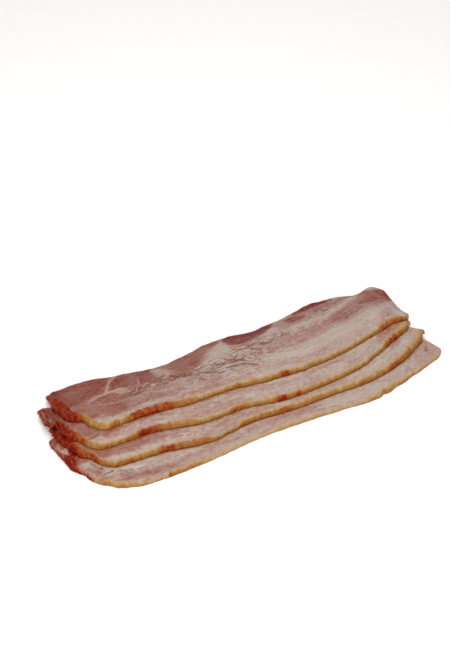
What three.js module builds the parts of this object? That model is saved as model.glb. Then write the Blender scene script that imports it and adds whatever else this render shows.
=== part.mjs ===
import * as THREE from 'three';

// Four rashers of smoked streaky bacon with the rind on, lying on each other like roof tiles.
// Millimetres, +Z up. The rind edges face -Y, the lean edges +Y, and the origin is under the
// middle of the pile, on the surface that it lies on.

// Driving dimensions
const thickness = 3.5;
const edgeBulge = 0.4; // how far the cut edge swells at half its height
const clearance = 0.3; // air between a rasher and what it lies on
const stationStart = -135;
const stationPitch = 30; // the rind lines and the widths are given at stations this far apart
const columns = 64; // grid cells along a rasher
const rows = 9; // grid cells from the rind to the lean edge
const endCrowding = 0.6; // how much closer the columns stand at the ends
const sagPerPass = 0.55; // how far the limp meat sinks in each pass of the settling
const sagPasses = 160;
const roundingPasses = 3;
const settlingSpread = 5; // steps along a triangle's side when it is tested against the pile
const heightMapSpread = 14; // steps along a triangle's side when it is drawn into the height map
const waveSlant = 0.4; // how much a rasher's low wave runs askew

// Width of a rasher at the stations, from its rind to its lean edge
const widths = [56, 57, 51.5, 50.5, 55, 58, 57.5, 61, 51, 53];

// The corners of a rasher: run is measured along it, rise across it
const leanCorner = { run: 5, rise: 2, power: 2 };
const heelCorner = { run: 8, rise: 5, power: 2 };
const tipRun = 40; // how far the lean edge's own turn at the left end reaches
const slantRun = 80; // how far the slant of the right end reaches
const curlRun = 18;

// From the lowest rasher to the top one: where it starts and ends, the course of its rind at
// the stations, its torn rind corner on the left as pairs of how far from that end and how
// much is gone, how far the lean edge turns out at that end, the dents in the lean edge, the
// rounding of its tail on the right, how much that end slants, its low wave and how far its
// left end curls up
const rashers = [
  {
    name: 'rasher_bottom',
    left: -138,
    right: 137.5,
    rindLine: [-57.5, -57.5, -57, -54, -49.5, -48, -48, -48, -39, -29],
    tornCorner: [
      [0, 54.5], [0.9, 52.5], [1.6, 49], [2.4, 44.5], [3.3, 41], [4.1, 36], [4.8, 31.5],
      [5.6, 28.7], [8.5, 26], [11.3, 22.5], [12.3, 18.5], [14.2, 15], [17.1, 12], [21.5, 8.2],
      [26, 4], [31, 1.3], [38, 0],
    ],
    tip: 5,
    leanDents: [],
    tailCorner: { run: 12, rise: 12, power: 2 },
    slant: 13,
    wave: { height: 0, length: 60, phase: 0 },
    curl: 1.2,
    colour: 0xc9a196,
  },
  {
    name: 'rasher_lower_middle',
    left: -134.5,
    right: 136.5,
    rindLine: [-38.5, -38.5, -39, -42.5, -37, -37.5, -35.5, -34, -26, -10.5],
    tornCorner: [
      [0, 44.5], [0.5, 42], [1.3, 38.4], [2.1, 35], [3.2, 30.5], [4.7, 27.3], [6.3, 24.3],
      [8.3, 20], [9.2, 16.5], [13.2, 14.3], [15, 12], [16.9, 8.4], [18.3, 6.5], [21, 3.4],
      [25.9, 0.6], [30, 0],
    ],
    tip: -5,
    leanDents: [],
    tailCorner: { run: 16, rise: 18, power: 2 },
    slant: 34,
    wave: { height: 0.5, length: 71, phase: 0.8 },
    curl: 0.8,
    colour: 0xbf958a,
  },
  {
    name: 'rasher_upper_middle',
    left: -136.5,
    right: 131.5,
    rindLine: [-24.5, -24.5, -23.5, -28.5, -27, -30.5, -28, -22.5, -9.5, 2.5],
    tornCorner: [
      [0, 40.5], [0.5, 37.2], [2.2, 33.8], [3.4, 32.5], [5.6, 31.8], [6.8, 21.2], [9.9, 17.7],
      [12.2, 15.1], [14.5, 12.2], [16.5, 8.4], [18.6, 5.1], [22.6, 1.7], [26.7, 0.3], [31, 0],
    ],
    tip: -2,
    leanDents: [],
    tailCorner: { run: 14, rise: 13, power: 2 },
    slant: 8,
    wave: { height: 0.5, length: 58, phase: 2.6 },
    curl: 2.6,
    colour: 0xc9a196,
  },
  {
    name: 'rasher_top',
    left: -126.7,
    right: 133.5,
    rindLine: [-13, -13.5, -11, -12.5, -11, -13.5, -12.5, -7, 1.5, 8],
    tornCorner: [
      [0, 37.5], [1.1, 33], [2.3, 22.5], [3.1, 20.2], [4.5, 18.3], [7.6, 16], [10, 15],
      [12.1, 13.3], [14.3, 8.2], [17.8, 3.4], [21.2, 1.2], [26.2, 0],
    ],
    tip: 0,
    leanDents: [[45.2, 1.6, 7], [103.2, 1.4, 9], [149.2, 3.2, 9], [238.2, 4.4, 13]],
    tailCorner: { run: 10, rise: 11, power: 2 },
    slant: -3,
    wave: { height: 0.6, length: 66, phase: 4.4 },
    curl: 1.6,
    colour: 0xbf958a,
  },
];

// The pile as a height map: the highest point so far over each cell of the table
const cell = 1;
const halfLength = 150;
const halfDepth = 75;
const cellsAlong = (2 * halfLength) / cell;
const cellsAcross = (2 * halfDepth) / cell;
const pile = new Float64Array(cellsAlong * cellsAcross);

function cellOf(x, y) {
  const i = Math.min(cellsAlong - 1, Math.max(0, Math.floor((x + halfLength) / cell)));
  const j = Math.min(cellsAcross - 1, Math.max(0, Math.floor((y + halfDepth) / cell)));
  return i * cellsAcross + j;
}

// A smooth line through values at evenly spaced stations
function alongStations(values, x) {
  const place = THREE.MathUtils.clamp((x - stationStart) / stationPitch, 0, values.length - 1);
  const i = Math.min(Math.floor(place), values.length - 2);
  const t = place - i;
  const before = values[Math.max(i - 1, 0)];
  const after = values[Math.min(i + 2, values.length - 1)];
  const slopeIn = (values[i + 1] - before) / 2;
  const slopeOut = (after - values[i]) / 2;
  const a = 2 * values[i] - 2 * values[i + 1] + slopeIn + slopeOut;
  const b = -3 * values[i] + 3 * values[i + 1] - 2 * slopeIn - slopeOut;
  return ((a * t + b) * t + slopeIn) * t + values[i];
}

// How far a corner cuts in at a distance from the end
function cornerCut(distance, { run, rise, power }) {
  return rise * Math.pow(Math.max(0, 1 - distance / run), power);
}

// Reads a table of [place, value] pairs, straight between its points
function readTable(table, place) {
  const next = table.findIndex(([p]) => p > place);
  if (next < 0) return table[table.length - 1][1];
  if (next === 0) return table[0][1];
  const [fromPlace, fromValue] = table[next - 1];
  const [toPlace, toValue] = table[next];
  return THREE.MathUtils.mapLinear(place, fromPlace, toPlace, fromValue, toValue);
}

// How deep the dents of an edge are: each one is where it is, its depth and its half width
function dentDepth(dents, place) {
  return dents.reduce((sum, [middle, depth, half]) => {
    return sum + depth * Math.exp(-(((place - middle) / half) ** 2));
  }, 0);
}

function rindEdge(r, x) {
  return alongStations(r.rindLine, x)
    + readTable(r.tornCorner, x - r.left)
    + cornerCut(r.right - x, heelCorner);
}

function leanEdge(r, x) {
  const turn = r.tip * Math.pow(Math.max(0, 1 - (x - r.left) / tipRun), 2);
  return alongStations(r.rindLine, x) + alongStations(widths, x) + turn
    - cornerCut(x - r.left, leanCorner)
    - cornerCut(r.right - x, r.tailCorner)
    - dentDepth(r.leanDents, x - r.left);
}

// The rasher from above, as a grid of points: u runs along it, v from the rind to the lean edge
function planGrid(r) {
  const grid = [];
  for (let i = 0; i <= columns; i++) {
    const turn = (i / columns) * 2 * Math.PI;
    const u = i / columns - (endCrowding * Math.sin(turn)) / (2 * Math.PI);
    const x = r.left + (r.right - r.left) * u;
    const tail = Math.max(0, 1 - (r.right - x) / slantRun);
    for (let j = 0; j <= rows; j++) {
      const v = j / rows;
      grid.push({
        x: x - r.slant * tail * v,
        y: THREE.MathUtils.lerp(rindEdge(r, x), leanEdge(r, x), v),
        z: 0,
      });
    }
  }
  return grid;
}

const at = (i, j) => i * (rows + 1) + j;

// The two triangles of every grid cell
function gridTriangles() {
  const triangles = [];
  for (let i = 0; i < columns; i++) {
    for (let j = 0; j < rows; j++) {
      triangles.push([at(i, j), at(i + 1, j), at(i + 1, j + 1)]);
      triangles.push([at(i, j), at(i + 1, j + 1), at(i, j + 1)]);
    }
  }
  return triangles;
}

// Points spread over a triangle, as weights of its corners
function spread(steps) {
  const weights = [];
  for (let a = 0; a <= steps; a++) {
    for (let b = 0; a + b <= steps; b++) {
      weights.push([a / steps, b / steps, (steps - a - b) / steps]);
    }
  }
  return weights;
}

// Calls visit with every spread point of a triangle
function sample(grid, [a, b, c], weights, visit) {
  for (const [wa, wb, wc] of weights) {
    visit(
      wa * grid[a].x + wb * grid[b].x + wc * grid[c].x,
      wa * grid[a].y + wb * grid[b].y + wc * grid[c].y,
      wa * grid[a].z + wb * grid[b].z + wc * grid[c].z,
    );
  }
}

// The rise that a rasher keeps by itself: a low wave along it and a curl at its torn end
function ownRise(r, p) {
  const { height, length, phase } = r.wave;
  const wave = 0.5 * height * (1 + Math.sin((2 * Math.PI * (p.x + waveSlant * p.y)) / length + phase));
  return wave + r.curl * Math.pow(Math.max(0, 1 - (p.x - r.left) / curlRun), 2);
}

// The mean height of a grid point's neighbours
function meanAround(heights, i, j) {
  let sum = 0;
  let count = 0;
  for (const [di, dj] of [[-1, 0], [1, 0], [0, -1], [0, 1]]) {
    if (i + di < 0 || i + di > columns || j + dj < 0 || j + dj > rows) continue;
    sum += heights[at(i + di, j + dj)];
    count += 1;
  }
  return sum / count;
}

// Lifts the underside off the pile wherever a triangle comes too close to it
function clearPile(grid, triangles) {
  const weights = spread(settlingSpread);
  for (const triangle of triangles) {
    let short = 0;
    sample(grid, triangle, weights, (x, y, z) => {
      const support = pile[cellOf(x, y)];
      if (support > 0) short = Math.max(short, support + clearance - z);
    });
    if (short > 0) for (const k of triangle) grid[k].z += short;
  }
}

// Lets the underside of a rasher sag onto the pile, then rounds its bends
function settle(r, grid, triangles) {
  const floor = grid.map((p) => pile[cellOf(p.x, p.y)] + ownRise(r, p));
  grid.forEach((p, k) => {
    p.z = floor[k];
  });
  for (let pass = 0; pass < sagPasses + roundingPasses; pass++) {
    const before = grid.map((p) => p.z);
    const sag = pass < sagPasses ? sagPerPass : 0;
    for (let i = 0; i <= columns; i++) {
      for (let j = 0; j <= rows; j++) {
        const p = grid[at(i, j)];
        p.z = Math.max(floor[at(i, j)], meanAround(before, i, j) - sag);
      }
    }
    clearPile(grid, triangles);
  }
}

// Adds the rasher's upper face to the height map
function addToPile(grid, triangles) {
  const weights = spread(heightMapSpread);
  for (const triangle of triangles) {
    sample(grid, triangle, weights, (x, y, z) => {
      for (const [dx, dy] of [[0, 0], [-0.5, 0], [0.5, 0], [0, -0.5], [0, 0.5]]) {
        const k = cellOf(x + dx * cell, y + dy * cell);
        pile[k] = Math.max(pile[k], z + thickness);
      }
    });
  }
}

// The outline of the grid, anticlockwise from above
function rim() {
  const ring = [];
  for (let i = 0; i < columns; i++) ring.push(at(i, 0));
  for (let j = 0; j < rows; j++) ring.push(at(columns, j));
  for (let i = columns; i > 0; i--) ring.push(at(i, rows));
  for (let j = rows; j > 0; j--) ring.push(at(0, j));
  return ring;
}

// The closed solid between the underside and the upper face, with a swollen edge
function solidOf(grid, triangles) {
  const ring = rim();
  const positions = [];
  for (const p of grid) positions.push(p.x, p.y, p.z);
  for (const p of grid) positions.push(p.x, p.y, p.z + thickness);
  ring.forEach((k, n) => {
    const p = grid[k];
    const before = grid[ring[(n + ring.length - 1) % ring.length]];
    const after = grid[ring[(n + 1) % ring.length]];
    const out = new THREE.Vector2(after.y - before.y, before.x - after.x).setLength(edgeBulge);
    positions.push(p.x + out.x, p.y + out.y, p.z + thickness / 2);
  });
  const upper = grid.length;
  const middle = 2 * grid.length;
  const index = [];
  for (const [a, b, c] of triangles) {
    index.push(a, c, b);
    index.push(upper + a, upper + b, upper + c);
  }
  ring.forEach((k, n) => {
    const m = (n + 1) % ring.length;
    const next = ring[m];
    index.push(k, next, middle + m, k, middle + m, middle + n);
    index.push(middle + n, middle + m, upper + next, middle + n, upper + next, upper + k);
  });
  const geometry = new THREE.BufferGeometry();
  geometry.setAttribute('position', new THREE.Float32BufferAttribute(positions, 3));
  geometry.setIndex(index);
  geometry.computeVertexNormals();
  return geometry;
}

const bacon = new THREE.Group();
const triangles = gridTriangles();
for (const r of rashers) {
  const grid = planGrid(r);
  settle(r, grid, triangles);
  addToPile(grid, triangles);
  const material = new THREE.MeshStandardMaterial({
    color: r.colour,
    roughness: 0.5,
    metalness: 0,
  });
  const rasher = new THREE.Mesh(solidOf(grid, triangles), material);
  rasher.name = r.name;
  bacon.add(rasher);
}

// The origin goes under the middle of the pile
const box = new THREE.Box3().setFromObject(bacon);
const centre = box.getCenter(new THREE.Vector3());
bacon.position.set(-centre.x, -centre.y, -box.min.z);

export default bacon;
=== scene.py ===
# Four rashers of smoked streaky bacon, rind on, lying on each other like roof tiles.
# Blender works in metres. The tables of the rashers are in millimetres of meat: "along" runs from a
# rasher's "start", near its left end, and "across" from the line of its rind to the lean edge.
import math
import bpy
import numpy as np
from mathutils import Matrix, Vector
from mathutils.bvhtree import BVHTree


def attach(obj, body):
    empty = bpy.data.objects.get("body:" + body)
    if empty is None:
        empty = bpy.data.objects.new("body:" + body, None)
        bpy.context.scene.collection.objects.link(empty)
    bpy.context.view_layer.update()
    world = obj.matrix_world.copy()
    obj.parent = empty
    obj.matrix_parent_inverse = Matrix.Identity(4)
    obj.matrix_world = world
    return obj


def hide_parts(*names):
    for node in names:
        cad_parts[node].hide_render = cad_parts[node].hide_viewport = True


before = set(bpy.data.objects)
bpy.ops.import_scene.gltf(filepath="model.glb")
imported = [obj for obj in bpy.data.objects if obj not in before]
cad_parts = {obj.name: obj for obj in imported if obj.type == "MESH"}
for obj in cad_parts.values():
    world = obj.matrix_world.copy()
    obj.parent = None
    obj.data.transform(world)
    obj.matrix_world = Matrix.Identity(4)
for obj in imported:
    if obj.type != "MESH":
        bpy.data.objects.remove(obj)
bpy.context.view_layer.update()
mm = 0.001


def deselectAll():
    if bpy.context.object and bpy.context.object.mode != "OBJECT":
        bpy.ops.object.mode_set(mode="OBJECT")
    bpy.ops.object.select_all(action="DESELECT")


# sRGB hex to the linear values that the shaders take
def colour(hexCode):
    parts = [int(hexCode[i:i + 2], 16) / 255 for i in (1, 3, 5)]
    return [p / 12.92 if p <= 0.04045 else ((p + 0.055) / 1.055) ** 2.4 for p in parts] + [1]


# Adds one node. A socket, or a node for its first output, is linked, anything else is set, and a
# ramp is a list of (position, hex colour) pairs.
def addNode(tree, kind, sockets=None, ramp=None, **settings):
    node = tree.nodes.new(kind)
    for name, value in settings.items():
        setattr(node, name, value)
    for name, value in (sockets or {}).items():
        if isinstance(value, bpy.types.Node):
            value = next(socket for socket in value.outputs if socket.enabled)
        if isinstance(value, bpy.types.NodeSocket):
            tree.links.new(value, node.inputs[name])
        else:
            node.inputs[name].default_value = value
    if ramp:
        stops = node.color_ramp.elements
        while len(stops) < len(ramp):
            stops.new(1)
        for stop, (position, hexCode) in zip(stops, ramp):
            stop.position = position
            stop.color = colour(hexCode)
    return node


# camera, floor and light

cameraView = {
    "lens": 70,  # mm
    "azimuth": -25,  # degrees, the camera stands left of the middle
    "elevation": 38,
    "distance": 0.90,  # m, from the aim
    "aim": (0.01524, 0.066414, 0),  # behind the rashers, which lie low in the picture
}

turn, tilt = math.radians(cameraView["azimuth"]), math.radians(cameraView["elevation"])
back = Vector((math.sin(turn) * math.cos(tilt), -math.cos(turn) * math.cos(tilt), math.sin(tilt)))
deselectAll()
bpy.ops.object.camera_add(location=Vector(cameraView["aim"]) + back * cameraView["distance"])
camera = bpy.context.object
camera.name = "camera"
camera.rotation_euler = (-back).to_track_quat("-Z", "Y").to_euler()
camera.data.lens = cameraView["lens"]
bpy.context.scene.camera = camera

floorLook = {"size": 8, "paper": "#f7f6f4", "roughness": 0.8}  # the size in m

deselectAll()
bpy.ops.mesh.primitive_plane_add(size=floorLook["size"], location=(0, 0, 0))
floor = bpy.context.object
floor.name = "floor"
paper = bpy.data.materials.new("matt_white_paper")  # seamless studio paper, no gloss to draw the eye
paper.use_nodes = True
paperShader = paper.node_tree.nodes["Principled BSDF"]
paperShader.inputs["Base Color"].default_value = colour(floorLook["paper"])
paperShader.inputs["Roughness"].default_value = floorLook["roughness"]
floor.data.materials.append(paper)

studio = {
    "world": 0.36,  # soft light from everywhere
    "lamps": [  # name, place, size in m, watts
        ("top_box", (0.00, 0.10, 1.35), 1.2, 8),
        ("front_box", (-0.25, -1.05, 0.85), 0.9, 12),
        ("left_box", (-1.00, -0.50, 0.80), 0.7, 3),
        ("back_strip", (0.25, 0.75, 1.10), 0.35, 3),
    ],
}

world = bpy.data.worlds.new("soft_studio")
world.use_nodes = True
sky = world.node_tree.nodes["Background"]
sky.inputs["Color"].default_value = (1, 1, 1, 1)
sky.inputs["Strength"].default_value = studio["world"]
bpy.context.scene.world = world
for name, place, size, power in studio["lamps"]:
    deselectAll()
    bpy.ops.object.light_add(type="AREA", location=place)
    lamp = bpy.context.object
    lamp.name = name
    lamp.data.size = size
    lamp.data.energy = power
    lamp.rotation_euler = (-Vector(place)).to_track_quat("-Z", "Y").to_euler()
bpy.context.scene.view_settings.view_transform = "Standard"
print("camera, floor and light stand")


# how a rasher is cut: the numbers that all four share, in mm

cut = {
    "thickness": 3.5,
    "stationStart": -135, "stationPitch": 30,  # where the rind lines and the widths are given
    "sideWidth": [56, 57, 51.5, 50.5, 55, 58, 57.5, 61, 51, 53],
    "leanCorner": (5, 2, 2), "heelCorner": (8, 5, 2),  # run, rise and power of a rounded corner
    "tipRun": 40, "slantRun": 80,  # over how much of its length a tip bends and a tail slants
    "originShift": (0.25, 0.374),  # from the rashers' own numbers to the middle of the pile
    "columns": 480, "rows": 90, "edgeRows": 5,  # cells along, across and up the cut edge
    "endCrowding": 0.35, "sideCrowding": 0.4,  # the cells are smaller towards the edges
    "edgeRounding": 0.5, "tornRounding": 1.2,  # of the upper corner, and how much more where it is torn
    "tornReach": 9,  # how far in from the edge the torn corner is loose
    "underRounding": 0.3,  # of the lower corner, as a share of the upper one's
    "thinnest": 0.6,
    "edgeBulge": 0.2, "edgeWobble": 0.18, "tornWobble": 0.6,  # how the wall swells and wanders
    "rindFoot": 0.7, "leanLip": 0.5,  # how far both edges stand out past their lines
    # ragged edges, each layer of hills by its height and size
    "raggedRind": ((0.22, 4.5), (0.12, 1.6)),
    "raggedTorn": ((0.8, 1.7), (0.4, 0.9)),
    "raggedLean": ((0.45, 7), (0.2, 2.2)),
    "air": 0.05,  # between a rasher and what it lies on
    "press": 7, "deepestPress": 2.5,  # how far in from the rind, and how deep, a rasher sinks
    "drapeInset": (0.9, 1.3),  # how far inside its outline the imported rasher's height is read
    "drapeRounding": 3.5,  # cells
}


# A smooth curve through values that are given at even stations
def alongStations(values, x):
    values = np.asarray(values, float)
    place = np.clip((x - cut["stationStart"]) / cut["stationPitch"], 0, len(values) - 1)
    i = np.minimum(place.astype(int), len(values) - 2)
    t = place - i
    before, after = values[np.maximum(i - 1, 0)], values[np.minimum(i + 2, len(values) - 1)]
    slopeIn, slopeOut = (values[i + 1] - before) / 2, (after - values[i]) / 2
    a = 2 * values[i] - 2 * values[i + 1] + slopeIn + slopeOut
    b = -3 * values[i] + 3 * values[i + 1] - 2 * slopeIn - slopeOut
    return ((a * t + b) * t + slopeIn) * t + values[i]


# How much a rounded corner takes off an edge at a distance from the end
def cornerCut(distance, corner):
    run, rise, power = corner
    return rise * np.clip(1 - distance / run, 0, None) ** power


# Smooth random hills between -1 and 1, one every size mm
def hills(a, w, size, seed):
    lattice = np.random.default_rng(seed).uniform(-1, 1, (97, 97))
    x, y = a / size + 31.7, w / size + 23.3
    i, j = np.floor(x).astype(int), np.floor(y).astype(int)
    s, t = x - i, y - j
    s, t = s * s * (3 - 2 * s), t * t * (3 - 2 * t)
    i, j, k, m = i % 97, j % 97, (i + 1) % 97, (j + 1) % 97
    low = lattice[i, j] * (1 - s) + lattice[k, j] * s
    high = lattice[i, m] * (1 - s) + lattice[k, m] * s
    return low * (1 - t) + high * t


# Hills on hills: each layer is (height, size) and takes the next seed
def layered(layers, a, w, seed):
    return sum(height * hills(a, w, size, seed + k) for k, (height, size) in enumerate(layers))


# Dents in an edge, each one (along, depth, half width)
def dents(places, a):
    return sum((depth * np.exp(-((a - at) / half) ** 2) for at, depth, half in places),
               np.zeros_like(a))


# 1 at the left end of a rasher and 0 where its torn corner has run out
def nearTorn(r, x):
    return np.clip(1 - (x - r["left"]) / r["tornCorner"][-1][0], 0, 1)


def rindEdge(r, x):
    a, fromTip = x - r["start"], x - r["left"]
    torn = layered(cut["raggedTorn"], a, 0 * a, r["seed"] + 4) * nearTorn(r, x) ** 0.6
    ragged = layered(cut["raggedRind"], a, 0 * a, r["seed"]) + torn * np.clip(fromTip / 1.5, 0, 1)
    return (alongStations(r["rindLine"], x) + np.interp(fromTip, *zip(*r["tornCorner"]))
            + cornerCut(r["right"] - x, cut["heelCorner"]) + ragged + dents(r["rindDents"], a))


def leanEdge(r, x):
    a, fromTip = x - r["start"], x - r["left"]
    tip = r["tip"] * np.clip(1 - fromTip / cut["tipRun"], 0, None) ** 2
    return (alongStations(r["rindLine"], x) + alongStations(cut["sideWidth"], x) + tip
            - cornerCut(fromTip, cut["leanCorner"]) - cornerCut(r["right"] - x, r["tailCorner"])
            + cut["leanLip"] + layered(cut["raggedLean"], a, 0 * a, r["seed"] + 2)
            - dents(r["leanDents"], a))


# the marbling: strokes as a painter lays them on, later ones over earlier ones

strokeWander = {  # mm, or the strokes would end as cleanly as drawn ones
    "along": ((1.4, 7), (0.7, 2.6)),
    "across": ((0.9, 6), (0.5, 2.3)),
}


# Rounds the corners of a line of (along, across, half width)
def roundedLine(points, closed):
    line = np.array(points, float)
    for _ in range(2):
        ring = np.vstack([line, line[:1]]) if closed else line
        a, b = ring[:-1], ring[1:]
        middle = np.stack([0.75 * a + 0.25 * b, 0.25 * a + 0.75 * b], 1).reshape(-1, 3)
        line = middle if closed else np.vstack([line[:1], middle, line[-1:]])
    return line


# How many mm each place lies outside a stroke; inside it the number is negative
def outside(stroke, a, w):
    closed = "area" in stroke
    points = [(p[0], p[1], 0 if closed else p[2] if len(p) > 2 else stroke["half"])
              for p in stroke["area" if closed else "line"]]
    line = roundedLine(points, closed)
    ring = np.vstack([line, line[:1]]) if closed else line
    nearest = np.full(a.shape, 1e6)
    inside = np.zeros(a.shape, bool)
    for (a0, w0, h0), (a1, w1, h1) in zip(ring[:-1], ring[1:]):
        da, dw = a1 - a0, w1 - w0
        t = np.clip(((a - a0) * da + (w - w0) * dw) / max(da * da + dw * dw, 1e-9), 0, 1)
        nearest = np.minimum(nearest, np.hypot(a - a0 - t * da, w - w0 - t * dw) - h0 - (h1 - h0) * t)
        if closed and w0 != w1:
            inside ^= ((w0 > w) != (w1 > w)) & (a < a0 + (w - w0) * da / dw)
    return np.where(inside, -np.abs(nearest), nearest)


# How far a stroke covers each place, from 0 to 1
def coverOf(stroke, a, w):
    return np.clip(0.5 - outside(stroke, a, w) / (2 * stroke["soft"]), 0, 1)


# The strokes of one rasher as shares from 0 to 1: how lean and red the meat is, its seams, with the
# painted highlights laid like them, and its creases
def paintMeat(strokes, a, w, seed):
    wa = a + layered(strokeWander["along"], a, w, seed)
    ww = w + layered(strokeWander["across"], a, w, seed + 2)
    meat = {"tone": np.full_like(a, 0.15), "seamAndHighlight": np.zeros_like(a), "crease": np.zeros_like(a)}
    for stroke in strokes:
        cover = coverOf(stroke, wa, ww)
        if "tone" in stroke:
            meat["tone"] += (stroke["tone"] - meat["tone"]) * cover * cover * (3 - 2 * cover)
        else:
            kind = "seamAndHighlight" if "seamAndHighlight" in stroke else "crease"
            meat[kind] = np.maximum(meat[kind], cover * stroke[kind])
    return meat


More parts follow.
